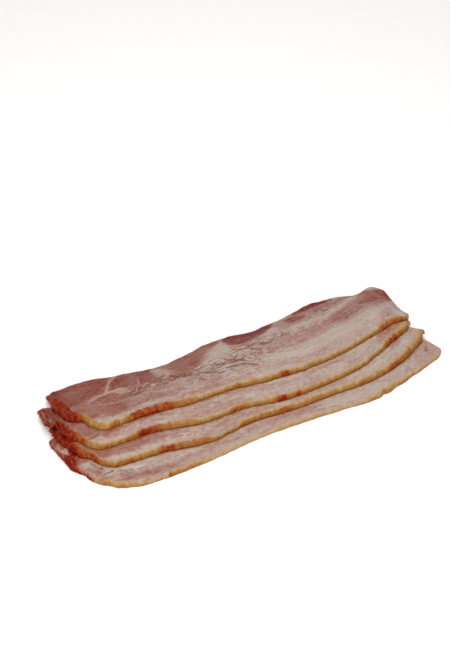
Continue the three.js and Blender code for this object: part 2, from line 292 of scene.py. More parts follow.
# The muscles run through all four rashers, which were cut one after the other. Tone 0 is white fat,
# 0.5 mauve lean and 1 dark red lean.
sideMeat = [
    # loose tissue between the muscles of the left half
    {"tone": 0.5, "soft": 4, "area": [
        (-10, 20), (-10, 66), (128, 66), (122, 52), (112, 38), (100, 28), (84, 22), (60, 19),
        (30, 18), (10, 16)]},
    # the lean belt under the fat of the rind, mauve and then paler
    {"tone": 0.55, "soft": 3.5, "line": [(10, 16, 4), (20, 13, 6), (34, 12.5, 7), (46, 13, 6)]},
    {"tone": 0.4, "soft": 4, "line": [(50, 13.5, 6.5), (60, 14, 6.5), (70, 14.5, 5.5)]},
    {"tone": 0.3, "soft": 4, "line": [(74, 14.5, 5.5), (84, 14.5, 5), (97, 12, 3.5), (112, 8, 2)]},
    # the wrinkled middle and the belt that widens towards the tail
    {"tone": 0.3, "soft": 5, "line": [(95, 20, 6), (120, 24, 8), (150, 27, 8), (176, 28, 7)]},
    {"tone": 0.36, "soft": 3.5, "line": [(150, 26, 4), (175, 27, 6), (200, 28, 6), (214, 29, 6.5)]},
    {"tone": 0.48, "soft": 4, "line": [
        (205, 30, 5), (220, 31, 7), (234, 33, 8.5), (248, 35, 10), (262, 38, 8)]},
    {"tone": 0.64, "soft": 4, "line": [(240, 34, 4), (250, 36, 6), (262, 38, 6)]},
    # the big muscle of the left end
    {"tone": 0.74, "soft": 2.5, "area": [
        (-8, 36), (-8, 60), (10, 64), (30, 63), (42, 57), (45, 51), (40, 45), (36, 40), (31, 36),
        (25, 33.5), (19, 31), (12, 28), (5, 28)]},
    {"tone": 1.0, "soft": 5, "line": [(1, 22, 1.5), (1, 38, 4.5), (2, 54, 5.5)]},
    # the strip of lean between two seams
    {"tone": 0.58, "soft": 2, "area": [
        (20, 23.5), (27, 28), (34, 29.5), (40, 27.5), (45, 24), (52, 24), (56, 21.5), (50, 20.5),
        (40, 21), (30, 21.5)]},
    # the second muscle, beyond the seam
    {"tone": 0.7, "soft": 2.2, "area": [
        (39, 33), (42.5, 40), (46, 45.5), (50.5, 49.5), (52, 60), (70, 60), (73, 48), (75, 42),
        (72, 37), (68, 33), (60, 31.5), (52, 33), (46, 33)]},
    {"tone": 0.86, "soft": 3, "line": [(42, 36, 1), (46, 42, 2), (51, 47, 2)]},
    {"tone": 0.82, "soft": 3.5, "line": [(62, 34, 1), (64, 41, 2.5), (66, 48, 1.5)]},
    {"tone": 0.62, "soft": 2, "area": [(50, 31), (58, 31.5), (60, 26), (55, 22), (50, 22.5)]},
    {"tone": 0.6, "soft": 2.5, "line": [(62, 25, 2), (66, 29, 2), (72, 27, 1.5)]},
    # an island of grey fat
    {"tone": 0.26, "soft": 2.2, "area": [
        (73, 48), (77, 50), (82, 44), (84, 38), (82, 33), (77, 30.5), (73, 33), (74, 40)]},
    {"tone": 0.7, "soft": 1.6, "line": [(74.5, 33.5, 1), (77, 35, 0.8)]},
    # the third muscle, pale, and the streaky meat after it
    {"tone": 0.6, "soft": 3, "area": [
        (84, 50), (84, 62), (112, 62), (114, 50), (112, 43), (108, 37), (104, 32), (99, 30), (93, 32),
        (88, 37), (85, 43)]},
    {"tone": 0.74, "soft": 3, "line": [(89, 33, 1), (86, 28.5, 1.5), (83, 27, 1)]},
    {"tone": 0.76, "soft": 3, "line": [(99, 36, 2), (103, 38, 2), (106, 44, 2)]},
    {"tone": 0.67, "soft": 3, "area": [(112, 46), (112, 62), (128, 62), (126, 54), (120, 48)]},
    # a wedge of grey fat
    {"tone": 0.12, "soft": 3.5, "area": [
        (104, 27), (108, 34), (113, 40), (119, 46), (124, 50), (127, 47), (125, 40), (127, 34),
        (122, 29), (112, 25)]},
    # the darkest muscle, in the middle of the lean edge
    {"tone": 0.93, "soft": 2, "area": [
        (127, 47), (128, 54), (131, 66), (152, 66), (170, 62), (171, 56), (165, 51.5), (157, 47),
        (149, 43), (141, 40), (134, 40), (129, 42)]},
    {"tone": 1.0, "soft": 3.5, "line": [(142, 46, 1.5), (152, 50, 2.5), (161, 54, 1.5)]},
    {"tone": 0.5, "soft": 2.5, "line": [(128, 38, 1), (136, 37, 1.5), (145, 39, 1.5), (153, 41, 1)]},
    # streaky meat towards the tail, with two small muscles
    {"tone": 0.36, "soft": 4, "area": [
        (166, 44), (170, 60), (196, 62), (222, 54), (226, 46), (214, 41), (190, 42), (176, 41)]},
    {"tone": 0.82, "soft": 2.4, "area": [
        (175, 50), (178, 54), (184, 55), (190, 53), (192, 49), (188, 46), (181, 46.5)]},
    {"tone": 0.9, "soft": 2.2, "area": [
        (184, 57.5), (187, 66), (209, 66), (217, 60), (222, 53.5), (213, 54), (206, 55), (196, 55.5)]},
    {"tone": 0.54, "soft": 3, "area": [
        (194, 49), (200, 53), (214, 52.5), (224, 48), (221, 45), (210, 46.5), (198, 46.5)]},
    {"tone": 0.6, "soft": 2, "line": [
        (222, 49, 1.5), (234, 46.5, 1.4), (246, 45.5, 1.6), (256, 42, 3)]},
    {"tone": 0.92, "soft": 2, "line": [(233, 32.5, 0.8), (235, 35, 0.8)]},
    {"tone": 0.86, "soft": 3, "line": [(257, 42, 1.5), (260, 36, 2.5), (260, 31, 1)]},
    # white fat
    {"tone": 0.37, "soft": 3, "line": [(76, 3, 2), (92, 5, 4), (110, 4, 3), (126, 3, 2)]},
    {"tone": 0.15, "soft": 2.5, "line": [(132, 2.5, 1.5), (170, 3, 2.5), (210, 3.5, 3), (238, 3, 2.5)]},
    {"tone": 0.03, "soft": 2.5, "line": [
        (176, 39.5, 1.4), (192, 38, 1.8), (206, 38, 1.6), (220, 41, 1)]},
    {"tone": 0.02, "soft": 3, "line": [
        (146, 15, 3), (170, 15.5, 4.5), (200, 15.5, 5), (226, 15, 5), (242, 13, 3)]},
    {"tone": 0.31, "soft": 3, "line": [(236, 4, 2), (246, 12, 5), (256, 18, 5)]},
    {"tone": 0.14, "soft": 2, "line": [(15, 7, 1.2), (21, 5.5, 1.6), (30, 4, 1.6), (40, 3, 1)]},
    {"tone": 0.22, "soft": 2, "line": [(46, 6, 1), (56, 6.5, 1.5), (68, 5.5, 1)]},
    # seams of white gristle
    {"tone": 0.3, "soft": 1.6, "area": [
        (35, 33), (41, 34), (49.5, 33), (50, 27), (45, 28), (40, 30.5)]},
    {"seamAndHighlight": 1, "soft": 1, "line": [
        (21, 28, 0.3), (26, 30.5, 0.9), (33, 32.2, 1.2), (40, 32.4, 1.1), (48, 32, 0.6)]},
    {"seamAndHighlight": 0.8, "soft": 1, "line": [(40, 30, 0.5), (45, 28, 0.9), (49, 27, 0.6)]},
    {"seamAndHighlight": 0.9, "soft": 0.8, "half": 0.45, "line": [
        (24, 22.5), (30, 19.5), (38, 18.5), (46, 18.3), (52, 18), (56, 20)]},
    {"seamAndHighlight": 1, "soft": 0.8, "half": 0.6, "line": [
        (35, 33), (38, 38), (41, 42.5), (44, 46), (48, 49), (50, 52)]},
    {"seamAndHighlight": 0.9, "soft": 0.8, "half": 0.5, "line": [
        (50, 21), (53, 23.5), (56.5, 27.5), (58, 33), (60, 40)]},
    {"seamAndHighlight": 1, "soft": 0.8, "half": 0.55, "line": [
        (57, 19.5), (59, 24), (61, 29), (64.5, 30.5), (67, 27.5), (66, 23), (62, 20.5), (57, 19.5)]},
    {"seamAndHighlight": 1, "soft": 0.8, "half": 0.5, "line": [(66, 23), (69, 27), (72, 31)]},
    {"seamAndHighlight": 0.9, "soft": 1, "half": 0.6, "line": [
        (75, 44), (80, 40.5), (80.5, 35), (78, 31.5), (73, 29.5)]},
    {"seamAndHighlight": 0.8, "soft": 0.9, "half": 0.4, "line": [(86, 37), (88, 32.5), (91, 30)]},
    {"seamAndHighlight": 0.9, "soft": 1.2, "half": 0.7, "line": [(113, 34), (118, 40), (122, 46), (126, 53)]},
    {"seamAndHighlight": 0.7, "soft": 1.6, "half": 1.2, "line": [(186, 38.5), (200, 37.5), (212, 40), (224, 41)]},
]

# creases, where the meat has come apart along a line of gristle: they sink, and the brown painted into
# them is painted shade
creases = [
    {"crease": 0.9, "soft": 1, "half": 0.7, "line": [(40, 35), (43, 40), (46, 44)]},
    {"crease": 1, "soft": 1, "half": 0.7, "line": [
        (43, 21), (48, 20.8), (53, 20.5), (58, 22.5), (61, 25.5), (64, 28)]},
    {"crease": 1, "soft": 1.2, "half": 1.0, "line": [
        (66, 29), (71, 28.5), (74, 30.5), (78, 28.5), (83, 27.5), (88, 25.5), (92, 23), (97, 21)]},
    {"crease": 1, "soft": 1.6, "half": 1.1, "line": [(72, 33), (75, 34), (79, 35.3)]},
    {"crease": 1, "soft": 1.2, "half": 1.0, "line": [(98, 22), (103, 20), (107, 17), (112, 14.5)]},
    {"crease": 1, "soft": 1, "half": 0.7, "line": [(96, 17.5), (98, 14)]},
    {"crease": 1, "soft": 1.2, "half": 0.9, "line": [
        (111, 22), (115, 24), (120, 25.5), (124, 23), (129, 20.5)]},
    {"crease": 1, "soft": 1, "half": 0.7, "line": [(117, 18.5), (124, 17.3), (130, 15.5), (136, 14)]},
    {"crease": 1, "soft": 1.2, "half": 0.9, "line": [
        (128, 34.5), (137, 33), (144, 34.5), (151, 32.5), (158, 33)]},
    {"crease": 0.9, "soft": 1, "half": 0.7, "line": [(139, 29.5), (143, 28), (148, 29)]},
    {"crease": 0.8, "soft": 1.2, "half": 0.8, "line": [(156, 35.5), (163, 36), (171, 35)]},
]


# the finish of the meat

meatFinish = {
    # from white fat over mauve to dark red lean
    "meat": [(0.0, "#aa9b90"), (0.15, "#a38c80"), (0.3, "#9b7b71"), (0.45, "#8f6458"), (0.6, "#865143"),
             (0.75, "#7e3e2e"), (0.9, "#761f0c"), (1.0, "#5f0c06")],
    # the pale of gristle, and the brown of the painted shade in creases
    "gristle": "#b09280", "creaseShade": "#6e412c",
    # from pale skin over ochre and orange to deep red-brown
    "rind": [(0.0, "#ad9270"), (0.25, "#a17c47"), (0.45, "#976a36"), (0.62, "#915623"),
             (0.75, "#914718"), (0.88, "#862d07"), (1.0, "#721209")],
    "surface": {
        "Specular IOR Level": 0.2,  # where a file keeps no map of the shine
        "IOR": 1.45,  # fat
        "Subsurface Weight": 0.35, "Subsurface Scale": 1.0,
        "Subsurface Radius": (3 * mm, 1.3 * mm, 0.8 * mm),  # red goes deepest
        "Coat Weight": 0.08, "Coat Roughness": 0.22,  # a thin film of moisture
    },
    # size in mm along, across and through the meat, detail and roughness
    "patterns": {
        "layers": ((26, 2.2, 7), 2.0, 0.5),  # thin pink layers in the fat, 1-2 mm apart
        "calm": ((38, 10, 9), 2.0, 0.5),  # where the fat has no layers
        "threads": ((4, 1.1, 2), 2.0, 0.6),  # bundles of lean fibre, 1 mm
        "clouds": ((15, 7, 8), 2.0, 0.5),  # lean that pales and darkens over 1-2 cm
        "blots": ((3.2, 2.6, 3), 3.0, 0.6),  # flecks of fat and dry spots, 3 mm
        "grain": ((0.9, 0.8, 0.8), 2.0, 0.5),  # fibre ends, really 0.3 mm, drawn coarser to show
        "wrinkles": ((5, 1.7, 3), 1.5, 0.5),  # 1.7 mm apart
        "streaks": ((1.3, 5, 6), 2.0, 0.6),  # short streaks up the skin
        "ticks": ((1.4, 6, 9), 3.0, 0.7),  # lines up the skin, 1-1.5 mm apart
    },
    # how much of each pattern goes into the colour of the meat, and into the bump
    "mottle": {"threads": 0.38, "clouds": 0.36, "blots": 0.55, "grain": 0.5},
    "felt": {"threads": 0.6, "layers": 0.5, "blots": 0.5, "grain": 0.22,
             "notches": -0.6, "ridge": 0.35, "hollow": -0.35},
    # weights in the smoked skin, and how much more they are where the meat is torn
    "whenTorn": {"wild": (0.8, 0.4), "lined": (0.52, -0.34), "streaked": (0.2, 0.35),
                 "red": (0.6, 0.3)},
    "wander": (14, 7),  # size and reach in mm of the bends in all patterns
    "apart": 60,  # mm from one rasher's place in the patterns to the next one's
    # which part of a wrinkle is its hollow, which gets painted shade, and which its back, which gets a
    # painted highlight
    "hollow": [(0.36, "#000000"), (0.44, "#ffffff"), (0.52, "#000000")],
    "ridge": [(0.5, "#000000"), (0.58, "#ffffff"), (0.66, "#000000")],
}


# Sliced smoked pork belly: lean fibres in soft fat under a thin film of moisture. The eye sees
# rose-brown islands that run softly into ivory fat with pink lines along it, and a broken wet gloss.
def slicedPorkBelly():
    material = bpy.data.materials.new("sliced_smoked_pork_belly")
    material.use_nodes = True
    tree = material.node_tree
    shader = tree.nodes["Principled BSDF"]
    painted = {name: addNode(tree, "ShaderNodeAttribute", attribute_name=name).outputs["Fac"]
               for name in ("tone", "seamAndHighlight", "crease", "rumple", "stain", "rindTone", "torn")}
    meatPlace = addNode(tree, "ShaderNodeAttribute", attribute_name="meatPlace").outputs["Vector"]

    # the patterns wander, or their lines would run as straight as a ruler
    size, reach = meatFinish["wander"]
    wander = addNode(tree, "ShaderNodeTexNoise", {"Vector": meatPlace, "Scale": 1 / (size * mm),
                                                  "Detail": 2.0})
    wander = addNode(tree, "ShaderNodeVectorMath", {0: wander.outputs["Color"], 1: (0.5, 0.5, 0.5)},
                     operation="SUBTRACT")
    wander = addNode(tree, "ShaderNodeVectorMath", {0: wander, "Scale": reach * mm}, operation="SCALE")
    place = addNode(tree, "ShaderNodeVectorMath", {0: meatPlace, 1: wander}, operation="ADD")
    pattern = {}
    for name, (size, detail, roughness) in meatFinish["patterns"].items():
        scaled = addNode(tree, "ShaderNodeMapping", {"Vector": place,
                                                     "Scale": [1 / (s * mm) for s in size]})
        noise = addNode(tree, "ShaderNodeTexNoise", {"Vector": scaled, "Scale": 1.0, "Detail": detail,
                                                     "Roughness": roughness})
        # from about -0.3 to 0.3
        pattern[name] = addNode(tree, "ShaderNodeMath", {0: noise, 1: 0.5}, operation="SUBTRACT")
    # wrinkle hollows for painted shade and wrinkle backs for a painted highlight, as strong as the
    # place is wrinkled
    raised = addNode(tree, "ShaderNodeMath", {0: pattern["wrinkles"], 1: 0.5}, operation="ADD")
    for name in ("hollow", "ridge"):
        part = addNode(tree, "ShaderNodeValToRGB", {"Fac": raised}, ramp=meatFinish[name])
        pattern[name] = addNode(tree, "ShaderNodeMath", {0: part, 1: painted["rumple"]},
                                operation="MULTIPLY")

    # mottled all over, with pink layers where the fat isn't calm, and with wrinkles that get painted
    # shade, brown, in their hollows and a painted highlight, pale, on their backs
    pink = addNode(tree, "ShaderNodeMapRange", {"Value": pattern["calm"], "From Min": -0.15,
                                                "From Max": 0.15, "To Min": 0.12, "To Max": 0.72},
                   interpolation_type="SMOOTHSTEP")
    tone = painted["tone"]
    weights = {**meatFinish["mottle"], "layers": pink, "hollow": 0.12, "ridge": -0.42}
    for name, weight in weights.items():
        tone = addNode(tree, "ShaderNodeMath", {0: pattern[name], 1: weight, 2: tone},
                       operation="MULTIPLY_ADD")
    meat = addNode(tree, "ShaderNodeValToRGB", {"Fac": tone}, ramp=meatFinish["meat"])

    # seams and creases break up in the grain of the meat; the brown of the creases and of the wrinkle
    # hollows is painted shade
    broken = addNode(tree, "ShaderNodeMath", {0: pattern["threads"], 1: pattern["blots"]},
                     operation="ADD")
    crease = addNode(tree, "ShaderNodeMath", {0: pattern["hollow"], 1: 0.65, 2: painted["crease"]},
                     operation="MULTIPLY_ADD")
    # the gristle colour also paints the highlights along the rims of two torn tips
    for line, full, name in ((painted["seamAndHighlight"], 0.85, "gristle"), (crease, 0.9, "creaseShade")):
        line = addNode(tree, "ShaderNodeMath", {0: broken, 1: 0.8, 2: line}, operation="MULTIPLY_ADD")
        line = addNode(tree, "ShaderNodeMapRange", {"Value": line, "From Min": 0.2, "From Max": full,
                                                    "To Max": 0.85}, interpolation_type="SMOOTHSTEP")
        meat = addNode(tree, "ShaderNodeMix", {0: line, 6: meat, 7: colour(meatFinish[name])},
                       data_type="RGBA")

    # the cut skin and the smoke round the edges: streaks run up both, wilder where the meat is torn
    torn = {name: addNode(tree, "ShaderNodeMath", {0: painted["torn"], 1: more, 2: usual},
                          operation="MULTIPLY_ADD")
            for name, (usual, more) in meatFinish["whenTorn"].items()}
    stain = painted["stain"]
    for name, weight in (("blots", 0.4), ("streaks", torn["wild"]), ("ticks", torn["lined"])):
        stain = addNode(tree, "ShaderNodeMath", {0: pattern[name], 1: weight, 2: stain},
                        operation="MULTIPLY_ADD")
    stain = addNode(tree, "ShaderNodeMapRange", {"Value": stain, "From Min": 0.05, "From Max": 0.85},
                    interpolation_type="SMOOTHSTEP")
    # where the smoke runs out it turns from red to ochre, less so on torn meat
    fringe = addNode(tree, "ShaderNodeMapRange", {"Value": stain, "From Min": 0.2, "From Max": 0.9,
                                                  "To Min": torn["red"], "To Max": 1})
    skin = addNode(tree, "ShaderNodeMath", {0: painted["rindTone"], 1: fringe}, operation="MULTIPLY")
    for name, weight in (("blots", 0.75), ("streaks", torn["streaked"]), ("ticks", torn["lined"])):
        skin = addNode(tree, "ShaderNodeMath", {0: pattern[name], 1: weight, 2: skin},
                       operation="MULTIPLY_ADD")
    skin = addNode(tree, "ShaderNodeValToRGB", {"Fac": skin}, ramp=meatFinish["rind"])
    finish = addNode(tree, "ShaderNodeMix", {0: stain, 6: meat, 7: skin}, data_type="RGBA")

    # fat is glossier than lean and smoked skin nearly matt, and small dry spots break the gloss
    gloss = 0.36
    for source, weight in ((tone, 0.08), (pattern["blots"], 0.35)):
        gloss = addNode(tree, "ShaderNodeMath", {0: source, 1: weight, 2: gloss},
                        operation="MULTIPLY_ADD")
    shine = addNode(tree, "ShaderNodeMath", {0: stain, 1: -0.19, 2: 0.25}, operation="MULTIPLY_ADD")

    # fibres, layers and grain are felt as well as seen, and the smoked skin has notches
    pattern["notches"] = addNode(tree, "ShaderNodeMath", {0: pattern["ticks"], 1: stain},
                                 operation="MULTIPLY")
    height = 0.0
    for name, weight in meatFinish["felt"].items():
        height = addNode(tree, "ShaderNodeMath", {0: pattern[name], 1: weight, 2: height},
                         operation="MULTIPLY_ADD")
    bump = addNode(tree, "ShaderNodeBump", {"Height": height, "Strength": 0.8, "Distance": 0.5 * mm})

    for name, value in meatFinish["surface"].items():
        shader.inputs[name].default_value = value
    for name, output in (("Base Color", finish.outputs[2]), ("Roughness", gloss.outputs[0]),
                         ("Specular IOR Level", shine.outputs[0]), ("Normal", bump.outputs["Normal"])):
        tree.links.new(output, shader.inputs[name])
    return material


porkBelly = slicedPorkBelly()
print("the finish of the meat is mixed")


# laying and cutting

# Where the vertices of a slab are
def placesOf(slab):
    places = np.zeros(3 * len(slab.data.vertices))
    slab.data.vertices.foreach_get("co", places)
    return places.reshape(-1, 3)


# A flat slab of unit size: x along, y across and z up through the thickness
def flatSlab(name):
    deselectAll()
    bpy.ops.mesh.primitive_grid_add(x_subdivisions=cut["columns"], y_subdivisions=cut["rows"], size=1,
                                    location=(0.5, 0.5, 0))
    slab = bpy.context.object
    slab.name = name
    slab.data.name = name
    bpy.ops.object.transform_apply(location=True, rotation=True, scale=True)
    bpy.ops.object.mode_set(mode="EDIT")
    bpy.ops.mesh.select_mode(type="EDGE")
    bpy.ops.mesh.select_all(action="SELECT")
    bpy.ops.mesh.extrude_region_move(TRANSFORM_OT_translate={"value": (0, 0, 1)})
    bpy.ops.mesh.select_all(action="DESELECT")
    bpy.ops.object.mode_set(mode="OBJECT")
    # the upright edges round the rim are cut into rows
    ends = np.zeros(2 * len(slab.data.edges), np.int64)
    slab.data.edges.foreach_get("vertices", ends)
    height = placesOf(slab)[:, 2]
    upright = np.abs(height[ends[0::2]] - height[ends[1::2]]) > 0.5
    slab.data.edges.foreach_set("select", upright)
    bpy.ops.object.mode_set(mode="EDIT")
    bpy.ops.mesh.subdivide(number_cuts=cut["edgeRows"] - 1)
    bpy.ops.mesh.select_all(action="SELECT")
    bpy.ops.mesh.normals_make_consistent(inside=False)
    bpy.ops.mesh.select_all(action="DESELECT")
    bpy.ops.object.mode_set(mode="OBJECT")
    return slab


# Rounds a height map over its cells, keeping the slope at its borders
def rounded(heights, cells):
    reach = int(3 * cells)
    weights = np.exp(-0.5 * (np.arange(-reach, reach + 1) / cells) ** 2)
    weights /= weights.sum()
    for axis in (0, 1):
        padding = [(reach, reach) if k == axis else (0, 0) for k in (0, 1)]
        padded = np.pad(heights, padding, mode="reflect", reflect_type="odd")
        size = heights.shape[axis]
        heights = sum(weight * np.take(padded, range(k, k + size), axis=axis)
                      for k, weight in enumerate(weights))
    return heights


# The faces of a piece, for rays to fall on
def treeOf(piece):
    return BVHTree.FromPolygons([v.co for v in piece.data.vertices],
                                [tuple(face.vertices) for face in piece.data.polygons])


# The height of what lies at each place, seen from above, in mm; -1 where there is nothing
def seenFromAbove(tree, x, y):
    down, found = Vector((0, 0, -1)), np.full(x.shape, -1.0)
    for k in np.ndindex(x.shape):
        hit = tree.ray_cast(Vector((x[k] * mm, y[k] * mm, 0.1)), down)[0]
        if hit is not None:
            found[k] = hit.z / mm
    return found


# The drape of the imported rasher: the height of its upper face, read a little inside its outline
def drapeOf(r, px, py):
    alongInset, acrossInset = cut["drapeInset"]
    middle = py[:, cut["rows"] // 2][:, None]
    height = seenFromAbove(treeOf(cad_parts[r["node"]]),
                           np.clip(px, px[2, :][None, :] + alongInset, px[-3, :][None, :] - alongInset),
                           py + np.clip(middle - py, -acrossInset, acrossInset))
    for _ in range(40):  # a few places just outside take their neighbour's height
        empty = height < 0
        if not empty.any():
            break
        for axis, shift in ((1, 1), (1, -1), (0, 1), (0, -1)):
            beside = np.roll(height, shift, axis)
            height = np.where(empty & (height < 0) & (beside >= 0), beside, height)
    return rounded(height, cut["drapeRounding"])


meatRelief = {  # mm
    "lumps": ((0.10, 11), (0.07, 3.2), (0.03, 1.4)),
    "tornLumps": ((0.5, 2.8), (0.2, 1.3)),
    "leanSinks": 0.2, "seamStands": 0.12, "creaseSinks": 0.3,
    "under": 0.03,  # of the lower face
    "ripples": ((2.1, 4.5), (1.2, 3)),  # coarse and fine ones: how wide, and how many times as long
    "rippleSlant": 0.32, "fineRipples": 0.6,  # the share of the fine ones
    "fullRipple": 0.3,  # the height of a patch whose wrinkles get the full painted shade and highlight
}


# The ripples of the wrinkled patches in mm, and how wrinkled each place is from 0 to 1, which sets how
# much painted shade and highlight its wrinkles get
def wrinkled(patches, a, w, seed):
    slanted = w + meatRelief["rippleSlant"] * a
    (wide, long), (narrow, short) = meatRelief["ripples"]
    lines = 1 - np.abs(hills(a / long, slanted, wide, seed)) * 2
    lines = lines + meatRelief["fineRipples"] * hills(a / short, slanted, narrow, seed + 1)
    ripple, rumple = np.zeros_like(a), np.zeros_like(a)
    for at, across, halfLong, halfWide, height in patches:
        patch = np.exp(-((a - at) / halfLong) ** 2 - ((w - across) / halfWide) ** 2)
        rumple = np.maximum(rumple, patch * height / meatRelief["fullRipple"])
        ripple += height * patch * lines
    return ripple, rumple


pileSoFar = []


# Lays a rasher on those under it, with hardly any air between, and sinks its rind onto them
def settle(px, py, under, top, fromRind):
    support = np.max([seenFromAbove(tree, px, py) for tree in pileSoFar], 0)
    support[support > -1] += cut["air"]
    for sunk in (False, True):
        for _ in range(4):
            lift = np.clip(np.where(support > -1, support - under, 0), 0, None)
            lift = np.maximum(lift, rounded(lift, 2))
            under, top = under + lift, top + lift
        if not sunk:
            gap = np.where(support[:, :1] > -1, under[:, :1] - support[:, :1], 0)
            gap = np.where(gap < cut["deepestPress"], gap, 0)
            sink = rounded(np.repeat(gap, 3, 1), 2)[:, :1] * np.exp(-(fromRind / cut["press"]) ** 2)
            under, top = under - sink, top - sink
    return under, top


# Which places lie on the rim, and which way is out from there
def outward(px, py):
    columns, rows = cut["columns"], cut["rows"]
    ring = [(i, 0) for i in range(columns)] + [(columns, j) for j in range(rows)]
    ring += [(i, rows) for i in range(columns, 0, -1)] + [(0, j) for j in range(rows, 0, -1)]
    i, j = np.array(ring).T
    rim = np.stack([px[i, j], py[i, j]], 1)
    run = np.roll(rim, -3, 0) - np.roll(rim, 3, 0)
    out = np.stack([run[:, 1], -run[:, 0]], 1) / np.maximum(np.linalg.norm(run, axis=1), 1e-6)[:, None]
    onRim, outX, outY = np.zeros(px.shape, bool), np.zeros_like(px), np.zeros_like(px)
    onRim[i, j], outX[i, j], outY[i, j] = True, out[:, 0], out[:, 1]
    return onRim, outX, outY


smokeRun = {  # how the smoke runs out, in mm and shares
    "fade": 4, "gentleFade": 1,  # over how long, and how much longer past the torn corner
    "yellowed": 1.6, "lessYellowed": 0.75,  # how much further it goes there, less by its reach
    "creamStart": 0.6, "creamFade": 2.6,  # where the skin turns to cream
    "strongest": 0.9, "footShade": 0.18,  # the foot of the skin is darker, painted shade where it meets the rasher below
    # painted shade where the next rasher's rind rests on this one: how strong, and its tone
    "contactShade": 0.9, "contactShadeTone": 0.6,
    "endSmoke": 0.55, "endFade": 0.6,
}


# above is the rasher that lies on this one
def layRasher(r, above):
    slab = flatSlab(r["name"])
    columns, rows = cut["columns"], cut["rows"]
    along, across, up = placesOf(slab).T
    column, row = np.rint(along * columns).astype(int), np.rint(across * rows).astype(int)
    at = column, row  # picks each vertex's value from a grid of them

    # the outline, in the rasher's own numbers
    u, v = np.arange(columns + 1) / columns, np.arange(rows + 1) / rows
    u = u - cut["endCrowding"] * np.sin(2 * np.pi * u) / (2 * np.pi)
    v = v - cut["sideCrowding"] * np.sin(2 * np.pi * v) / (2 * np.pi)
    # the columns keep even steps along the torn corner too
    fine = np.linspace(r["left"], r["right"], 4000)
    walked = np.cumsum(np.hypot(np.gradient(fine), 0.6 * np.gradient(rindEdge(r, fine))))
    x = np.interp(u, (walked - walked[0]) / (walked[-1] - walked[0]), fine)
    rind, lean, line = rindEdge(r, x), leanEdge(r, x), alongStations(r["rindLine"], x)
    y = rind[:, None] + (lean - rind)[:, None] * v[None, :]
    a, w = np.repeat((x - r["start"])[:, None], rows + 1, 1), y - line[:, None]
    tail = np.clip(1 - (r["right"] - x) / cut["slantRun"], 0, None)
    px = x[:, None] - r["slant"] * tail[:, None] * v[None, :] + cut["originShift"][0]
    py = y + cut["originShift"][1]

    # how far each place is from the cut edge
    slopeLean = 1 / np.hypot(1, np.gradient(lean, x))
    fromLean = (lean[:, None] - y) * slopeLean[:, None]
    edgeX, edgeY = fine[None, ::3], rindEdge(r, fine[::3])[None, :]
    fromRind = np.array([np.hypot(columnX - edgeX, columnY[:, None] - edgeY).min(1)
                         for columnX, columnY in zip(x, y)])
    fromEnds = np.minimum(x - r["left"], r["right"] - x)[:, None] + 0 * a
    fromEdge = np.minimum(np.minimum(fromRind, fromLean), fromEnds)

    # relief: fat stands a little proud, seams part, and the middle is rippled
    meat = paintMeat(r["strokes"], a, w, r["seed"] + 10)
    ripple, rumple = wrinkled(r["ripples"], a, w, r["seed"] + 20)
    relief = (layered(meatRelief["lumps"], a, w, r["seed"] + 22)
              - meatRelief["leanSinks"] * rounded(meat["tone"], 1.2)
              + meatRelief["seamStands"] * rounded(meat["seamAndHighlight"], 0.8)
              - meatRelief["creaseSinks"] * rounded(meat["crease"], 1.3) + ripple)
    torn = np.clip(1.2 - fromEdge / cut["tornReach"], 0, 1)
    torn = torn * np.clip(1.3 * nearTorn(r, x) + 0.1, 0, 1)[:, None]
    relief += torn * layered(meatRelief["tornLumps"], a, w, r["seed"] + 30)
    edge = cut["edgeRounding"] + cut["tornRounding"] * torn * (1 + hills(a, w, 3.5, r["seed"] + 32))
    corner = edge - np.sqrt(np.clip(edge ** 2 - np.clip(edge - fromEdge, 0, edge) ** 2, 0, None))

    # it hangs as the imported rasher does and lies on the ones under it
    top = drapeOf(r, px, py)
    under = top - cut["thickness"]
    if pileSoFar:
        under, top = settle(px, py, under, top, fromRind)
    top = top + relief - corner
    # the rind keeps its full foot
    under = under + np.where(fromRind > fromEdge + 0.01, cut["underRounding"] * corner, 0)
    under = under + meatRelief["under"] * (1 + hills(a, w, 5, r["seed"] + 25))
    top = np.maximum(top, under + cut["thinnest"])

    # everything goes to its vertex; the rim swells at half its height
    onRim, outX, outY = outward(px, py)
    va, vw = a[at], w[at]
    loose = np.where((row == 0) | (column == 0), nearTorn(r, x)[column] ** 0.5, 0)
    wobble = cut["edgeWobble"] + cut["tornWobble"] * loose
    wobble *= hills(va + 2.2 * vw, up * cut["thickness"], 1.4, r["seed"] + 26)
    foot = np.where(row == 0, cut["rindFoot"] * (1 - up), 0)
    swell = np.where(onRim[at], (cut["edgeBulge"] + wobble) * np.sin(np.pi * up) + foot, 0)
    placed = np.stack([px[at] + outX[at] * swell, py[at] + outY[at] * swell,
                       under[at] + (top - under)[at] * up], 1) * mm
    slab.data.vertices.foreach_set("co", placed.ravel())

    # what the finish reads: the place in the meat, and the strokes
    places, tones, reaches = zip(*r["rind"])
    tone = np.interp(va, places, tones) + 0.1 * hills(va, 0 * va, 2.5, r["seed"] + 27)
    reach = np.interp(va, places, reaches)
    # past the torn corner the smoke turns to ochre and cream before it runs out
    onSkin = row == 0
    depth = fromRind[at] - np.where(onSkin, (1 - up) * cut["thickness"], 0)
    gentle = np.clip(1.5 - 1.5 * nearTorn(r, x), 0, 1)[column]
    yellowed = smokeRun["yellowed"] - smokeRun["lessYellowed"] * np.clip(reach, 0, 3)
    stain = reach - depth + gentle * yellowed
    stain = 0.5 + stain / (smokeRun["fade"] + smokeRun["gentleFade"] * gentle)
    stain = np.clip(stain, 0, smokeRun["strongest"])
    cream = np.clip(0.5 - (reach + smokeRun["creamStart"] - depth) / smokeRun["creamFade"], 0, 1)
